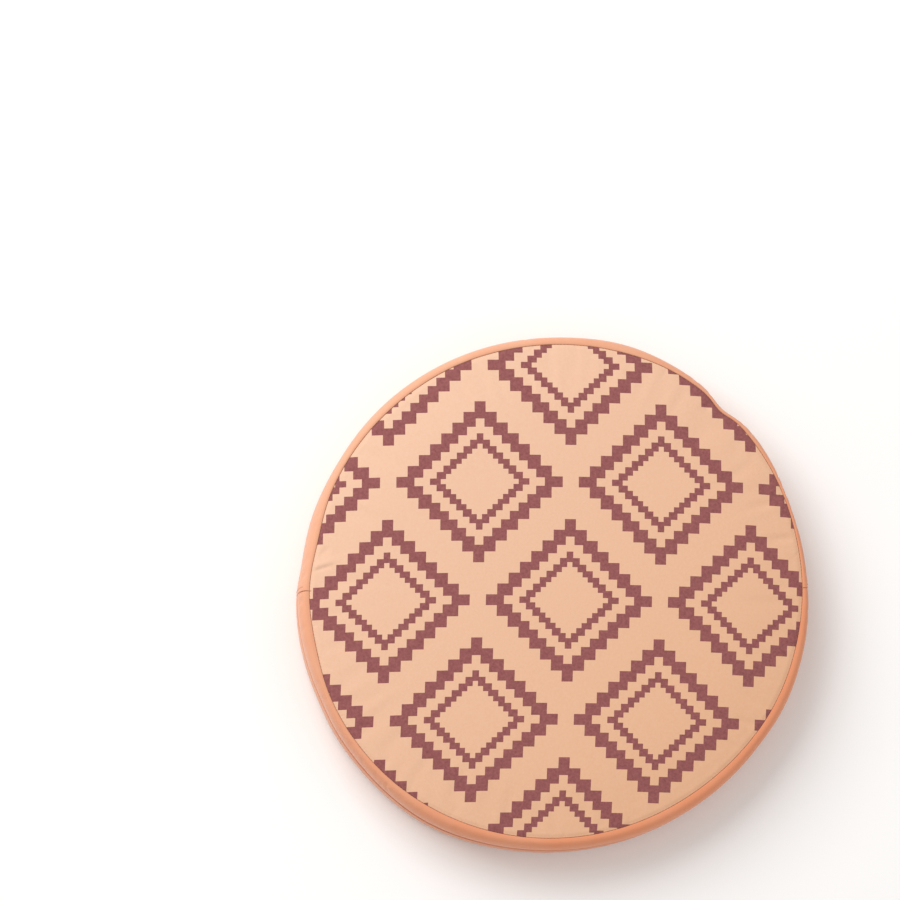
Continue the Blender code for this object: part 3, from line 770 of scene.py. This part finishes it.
def sew(name, places, length, material):
    """Short bowed stitches, each place being its centre, the way it runs and the way it faces."""
    fullness = [0.35, 0.8, 1.0, 1.0, 1.0, 0.8, 0.35]
    stations = np.linspace(-0.5, 0.5, len(fullness))
    sides = 6
    angles = np.arange(sides) * math.tau / sides
    points, faces = [], []
    for centre, run, out in places:
        centre, run, out = (np.array(v, float) for v in (centre, run, out))
        run /= np.linalg.norm(run)
        out /= np.linalg.norm(out)
        cross = np.cross(run, out)
        base = len(points)
        for along, full in zip(stations, fullness):
            middle = centre + run * along * length - out * THREAD_RADIUS * 5 * along * along
            for angle in angles:
                spread = out * math.sin(angle) + cross * math.cos(angle)
                points.append(middle + THREAD_RADIUS * full * spread)
        end = base + (len(fullness) - 1) * sides
        for ring in range(base, end, sides):
            for i in range(sides):
                a, b = ring + i, ring + (i + 1) % sides
                faces.append((a, b, b + sides, a + sides))
        faces.append(tuple(base + i for i in reversed(range(sides))))
        faces.append(tuple(end + i for i in range(sides)))
    mesh = bpy.data.meshes.new(name)
    mesh.from_pydata([tuple(p) for p in points], [], faces)
    mesh.materials.append(material)
    mesh.shade_smooth()
    made = bpy.data.objects.new(name, mesh)
    bpy.context.scene.collection.objects.link(made)
    return outwards(made)


def spun_thread(name, light, dark):
    """Spun polyester thread: a slight gloss, and a twist that shows as fine slanting bands, the raised plies
    painted lighter and the grooves between them darker: painted light and shade.
    """
    material, tree, shader = finish(name, Roughness=0.55, Sheen_Weight=0.15)
    where = add(tree, "ShaderNodeTexCoord").outputs["Object"]
    bands = {"Vector": where, "Scale": TWIST_SCALE, "Distortion": 1.5}
    twist = add(tree, "ShaderNodeTexWave", bands, bands_direction="DIAGONAL")
    dye_and_shade = {0: twist.outputs["Fac"], 6: linear(dark), 7: linear(light)}
    tone = add(tree, "ShaderNodeMix", dye_and_shade, data_type="RGBA")
    tree.links.new(tone.outputs[2], shader.inputs["Base Color"])
    ply = add(tree, "ShaderNodeBump", {"Height": twist.outputs["Fac"], "Strength": 0.4, "Distance": 0.00008})
    tree.links.new(ply.outputs["Normal"], shader.inputs["Normal"])
    return material


seam_polyester = spun_thread("seam_thread_polyester", "#A26C4A", "#764C34")
for name, side, node in (
    ("seam_stitches_upper", 1, "seam_thread_top"), ("seam_stitches_lower", -1, "seam_thread_bottom"),
):
    places = []
    for number in range(STITCHES):
        azimuth = (number + 0.5) * 360 / STITCHES
        turn = math.radians(azimuth)
        seam = float(seam_radius(azimuth))
        height = MIDDLE + side * (SEAM_HALF - STITCH_DROP)
        out = np.array([math.cos(turn), math.sin(turn), 0])
        run = np.array([-math.sin(turn), math.cos(turn), 0]) + STITCH_SLANT * out
        places.append((out * seam + np.array([0, 0, height]), run, (0, 0, side)))
    made = sew(name, places, SEAM_STITCH, seam_polyester)
    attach(made, "cushion")
    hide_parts(node)

JOIN_STITCHES = 16
JOIN_HALF = 0.0202  # from mid height to either end of the line of stitches
JOIN_AWAY = 1.0  # degrees from the join to that line, on the plain half
top_polyester = spun_thread("topstitch_thread_polyester", "#C58059", "#A9673F")
for name, azimuth, node in (
    ("join_stitches_left", 180 - JOIN_AWAY, "join_thread_left"),
    ("join_stitches_right", JOIN_AWAY, "join_thread_right"),
):
    places = []
    for number in range(JOIN_STITCHES):
        height = JOIN_HALF * (2 * (number + 0.5) / JOIN_STITCHES - 1)
        turn = math.radians(azimuth)
        share = height / SEAM_HALF
        below, above = float(band_radius(azimuth, share - 0.01)), float(band_radius(azimuth, share + 0.01))
        slope = (above - below) / (0.02 * SEAM_HALF)
        radius = float(band_radius(azimuth, share)) + 0.00008
        out = np.array([math.cos(turn), math.sin(turn), 0])
        point = out * radius + np.array([0, 0, MIDDLE + height]) + swell_on_band(azimuth, share)
        places.append((point, out * slope + np.array([0, 0, 1.0]), out - np.array([0, 0, slope])))
    made = sew(name, places, JOIN_STITCH, top_polyester)
    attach(made, "cushion")
    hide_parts(node)

# ------------------------------------------------------------------ zip tapes
# Woven polyester tapes, dyed to the band. Each lies against the back of its strip, and a line of
# stitching holds it there, a few millimetres from the slit.

TAPE_BEHIND, TAPE_THICK, TAPE_WIDE = 0.0009, 0.0005, 0.0090
CHAIN_START, CHAIN_END = 187.5, 352.5
RIB_SCALE = 320.0  # sets the ribs 1.1 mm apart, coarser than on a real tape so that they show

# Twill tape of polyester: slanting ribs, painted lighter along their tops and darker between them: painted
# highlight and shade.
tape_polyester, tree, shader = finish("woven_polyester_tape", Roughness=0.7, Sheen_Weight=0.1)
where = add(tree, "ShaderNodeTexCoord").outputs["Object"]
bands = {"Vector": where, "Scale": RIB_SCALE, "Distortion": 0.6}
ribs = add(tree, "ShaderNodeTexWave", bands, bands_direction="DIAGONAL")
dye_and_shade = {0: ribs.outputs["Fac"], 6: linear("#C9794F"), 7: linear("#E09468")}
tone = add(tree, "ShaderNodeMix", dye_and_shade, data_type="RGBA")
tree.links.new(tone.outputs[2], shader.inputs["Base Color"])
raised = add(tree, "ShaderNodeBump", {"Height": ribs.outputs["Fac"], "Strength": 0.4, "Distance": 0.0001})
tree.links.new(raised.outputs["Normal"], shader.inputs["Normal"])

chain_length = math.radians(CHAIN_END - CHAIN_START) * ZIP_RADIUS
chain_azimuths = np.linspace(CHAIN_START, CHAIN_END, 500)
for name, side, node in (("tape_upper", 1, "zip_tape_upper"), ("tape_lower", -1, "zip_tape_lower")):
    loop = [(h, TAPE_BEHIND) for h in (0.0008, 0.0016, 0.0025, 0.0035, 0.0060, 0.0088)]
    loop += [(TAPE_WIDE, TAPE_BEHIND + TAPE_THICK / 2)]
    loop += [(h, TAPE_BEHIND + TAPE_THICK) for h, _ in loop[-2::-1]]
    loop.append((0.0006, TAPE_BEHIND + TAPE_THICK / 2))
    section = []
    for height, behind in loop:
        radius = strip_radius(chain_azimuths, height) - behind
        section.append(place_round(radius, chain_azimuths, MIDDLE + side * height))
    tape = outwards(skin(name, np.array(section).transpose(1, 0, 2), tape_polyester, around=True, ends=True))
    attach(tape, "cushion")
    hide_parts(node)

TAPE_STITCH = 0.0055  # from the slit to the line of stitches
TAPE_STITCHES = round(chain_length / 0.0026)
for name, side, node in (
    ("tape_stitches_upper", 1, "zip_thread_upper"), ("tape_stitches_lower", -1, "zip_thread_lower"),
):
    places = []
    for number in range(TAPE_STITCHES):
        azimuth = CHAIN_START + (number + 0.5) * (CHAIN_END - CHAIN_START) / TAPE_STITCHES
        turn = math.radians(azimuth)
        out = np.array([math.cos(turn), math.sin(turn), 0])
        behind = float(strip_radius(azimuth, TAPE_STITCH)) - TAPE_BEHIND - TAPE_THICK - THREAD_RADIUS * 0.8
        point = out * behind + np.array([0, 0, MIDDLE + side * TAPE_STITCH])
        places.append((point, (-math.sin(turn), math.cos(turn), 0), -out))
    made = sew(name, places, 0.0021, top_polyester)
    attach(made, "cushion")
    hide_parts(node)

# ------------------------------------------------------------------ zip coils and stops
# Each coil is one nylon monofilament wound into flat loops and sewn to its tape. A bent metal clip
# at each end of the chain stops the slider.

COIL_CENTRE, COIL_AWAY = 0.19551, 0.00150  # radius round the cushion, and height from the slit
COIL_DEEP, COIL_HALF_WIDE = 0.00055, 0.00078
WIRE = 0.00024  # radius of the monofilament
COIL_PITCH = 0.0013
NYLON_CLOUDS = 260.0  # patches of colour in a metre

# Nylon monofilament: smooth, faintly clouded, with a soft gloss.
nylon, tree, shader = finish("nylon_monofilament", Roughness=0.35, IOR=1.53)
where = add(tree, "ShaderNodeTexCoord").outputs["Object"]
cloud = add(tree, "ShaderNodeTexNoise", {"Vector": where, "Scale": NYLON_CLOUDS})
clouded = {0: cloud.outputs["Fac"], 6: linear("#B96F48"), 7: linear("#D58C62")}
tone = add(tree, "ShaderNodeMix", clouded, data_type="RGBA")
tree.links.new(tone.outputs[2], shader.inputs["Base Color"])

turns = round(math.radians(CHAIN_END - CHAIN_START) * COIL_CENTRE / COIL_PITCH)
phase = np.linspace(0, turns * math.tau, turns * 10 + 1)
for name, side, node in (("coil_upper", 1, "zip_coil_upper"), ("coil_lower", -1, "zip_coil_lower")):
    azimuth = CHAIN_START + (CHAIN_END - CHAIN_START) * phase / phase[-1]
    height = side * (COIL_AWAY + COIL_HALF_WIDE * np.cos(phase))
    line = place_round(COIL_CENTRE + COIL_DEEP * np.sin(phase), azimuth, MIDDLE + height)
    run = np.gradient(line, axis=0)
    run /= np.linalg.norm(run, axis=1, keepdims=True)
    middle = place_round(COIL_CENTRE + 0 * phase, azimuth, MIDDLE + side * COIL_AWAY)
    out = line - middle
    out -= run * (out * run).sum(1, keepdims=True)
    out /= np.linalg.norm(out, axis=1, keepdims=True)
    cross = np.cross(run, out)
    angles = np.arange(5) * math.tau / 5
    tube = np.stack([line + WIRE * (out * math.cos(a) + cross * math.sin(a)) for a in angles], axis=1)
    coil = outwards(skin(name, tube, nylon, around=True, ends=True))
    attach(coil, "cushion")
    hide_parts(node)

# Painted zinc: smooth coloured lacquer, a little worn so that the grey metal glints through.
zinc, tree, shader = finish(
    "lacquered_zinc", Roughness=0.32, Metallic=0.35, Coat_Weight=0.4, Coat_Roughness=0.2,
)
where = add(tree, "ShaderNodeTexCoord").outputs["Object"]
worn = add(tree, "ShaderNodeTexNoise", {"Vector": where, "Scale": 1600.0, "Detail": 4.0})
rubbed = add(tree, "ShaderNodeValToRGB", {"Fac": worn.outputs["Fac"]})
rubbed.color_ramp.elements[0].position, rubbed.color_ramp.elements[1].position = 0.66, 0.72
rubbed.color_ramp.elements[0].color = linear("#D98D64")
rubbed.color_ramp.elements[1].color = linear("#A79C93")
tree.links.new(rubbed.outputs["Color"], shader.inputs["Base Color"])
for node in ("zip_stop_closed", "zip_stop_open"):
    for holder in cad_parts[node].material_slots:
        holder.material = zinc

# ------------------------------------------------------------------ slider and pull
# Die-cast zinc, lacquered to match. The body wraps the coils from behind, a thin neck passes the
# slit, and a low bridge outside carries the small flat pull.

CAST_EDGE = 0.00018  # radius that casting leaves on every edge

def cast_part(name, node):
    """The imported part's own surface with its edges rounded as casting leaves them."""
    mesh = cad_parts[node].data.copy()
    work = bmesh.new()
    work.from_mesh(mesh)
    bmesh.ops.remove_doubles(work, verts=work.verts, dist=1e-6)
    bmesh.ops.dissolve_limit(work, angle_limit=math.radians(1), verts=work.verts, edges=work.edges)
    work.to_mesh(mesh)
    work.free()
    made = bpy.data.objects.new(name, mesh)
    bpy.context.scene.collection.objects.link(made)
    bevel = made.modifiers.new("cast_edges", "BEVEL")
    bevel.width = CAST_EDGE
    bevel.segments = 3
    bevel.limit_method = "ANGLE"
    bevel.angle_limit = math.radians(30)
    bevel.use_clamp_overlap = True
    mesh.shade_smooth()
    mesh.materials.clear()
    mesh.materials.append(zinc)
    return made


slider = cast_part("slider_casting", "zip_slider")
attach(slider, "slider")
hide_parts("zip_slider")
pull = cast_part("pull_casting", "zip_pull")
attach(pull, "pull")
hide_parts("zip_pull")

# ------------------------------------------------------------------ floor, light and camera
# A pale seamless floor, a large soft light from the upper left and a dim one opposite, and a camera
# high over the cushion, leaning over its zip side.

FLOOR_HALF = 6.0
FLOOR_BELOW = 0.0003  # under the lowest cloth
corners = [(x * FLOOR_HALF, y * FLOOR_HALF, 0) for x, y in ((-1, -1), (1, -1), (1, 1), (-1, 1))]
floor_mesh = bpy.data.meshes.new("floor")
floor_mesh.from_pydata(corners, [], [(0, 1, 2, 3)])
floor = bpy.data.objects.new("floor", floor_mesh)
bpy.context.scene.collection.objects.link(floor)
floor.location.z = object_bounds()[0].z - FLOOR_BELOW

# Matt backdrop paper: white, and almost even.
paper, tree, shader = finish("backdrop_paper", Roughness=0.9, Specular_IOR_Level=0.1)
where = add(tree, "ShaderNodeTexCoord").outputs["Object"]
grain = add(tree, "ShaderNodeTexNoise", {"Vector": where, "Scale": 3.0})
white = {0: grain.outputs["Fac"], 6: linear("#F6F5F4"), 7: linear("#FAF9F8")}
tone = add(tree, "ShaderNodeMix", white, data_type="RGBA")
tree.links.new(tone.outputs[2], shader.inputs["Base Color"])
floor_mesh.materials.append(paper)

world = bpy.data.worlds.new("studio")
world.use_nodes = True
world.node_tree.nodes["Background"].inputs["Color"].default_value = linear("#FFFDFB")
world.node_tree.nodes["Background"].inputs["Strength"].default_value = 0.60
bpy.context.scene.world = world
bpy.context.scene.view_settings.view_transform = "Standard"

for name, place, wide, power in (("key", (-1.35, 1.35, 1.8), 2.0, 56), ("fill", (1.8, -1.4, 1.8), 2.0, 9)):
    lamp = bpy.data.lights.new(name, "AREA")
    lamp.size = wide
    lamp.energy = power
    light = bpy.data.objects.new(name, lamp)
    light.location = place
    light.rotation_euler = (Vector((0, 0, 0.03)) - Vector(place)).to_track_quat("-Z", "Y").to_euler()
    bpy.context.scene.collection.objects.link(light)

CAMERA_TILT, CAMERA_LEANS_TO, CAMERA_SPIN = 11.7, 235.2, -0.74  # off the vertical, azimuth, turn of the view
CAMERA_DISTANCE, CAMERA_LENS = 4.0, 206.2
aim = Vector((-0.0807, 0.1093, 0.050))
tilt, lean = math.radians(CAMERA_TILT), math.radians(CAMERA_LEANS_TO)
back = Vector((math.sin(tilt) * math.cos(lean), math.sin(tilt) * math.sin(lean), math.cos(tilt)))
right = (-back).cross(Vector((0, 0, 1))).normalized()
over = right.cross(-back)
roll = -(lean + math.pi / 2) + math.radians(CAMERA_SPIN)
turned_right = math.cos(roll) * right + math.sin(roll) * over
turned_over = -math.sin(roll) * right + math.cos(roll) * over
camera_data = bpy.data.cameras.new("camera")
camera_data.lens = CAMERA_LENS
camera_data.sensor_width = 36
camera = bpy.data.objects.new("camera", camera_data)
bpy.context.scene.collection.objects.link(camera)
turn = Matrix((turned_right, turned_over, back)).transposed()
camera.matrix_world = Matrix.Translation(aim + CAMERA_DISTANCE * back) @ turn.to_4x4()
bpy.context.scene.camera = camera
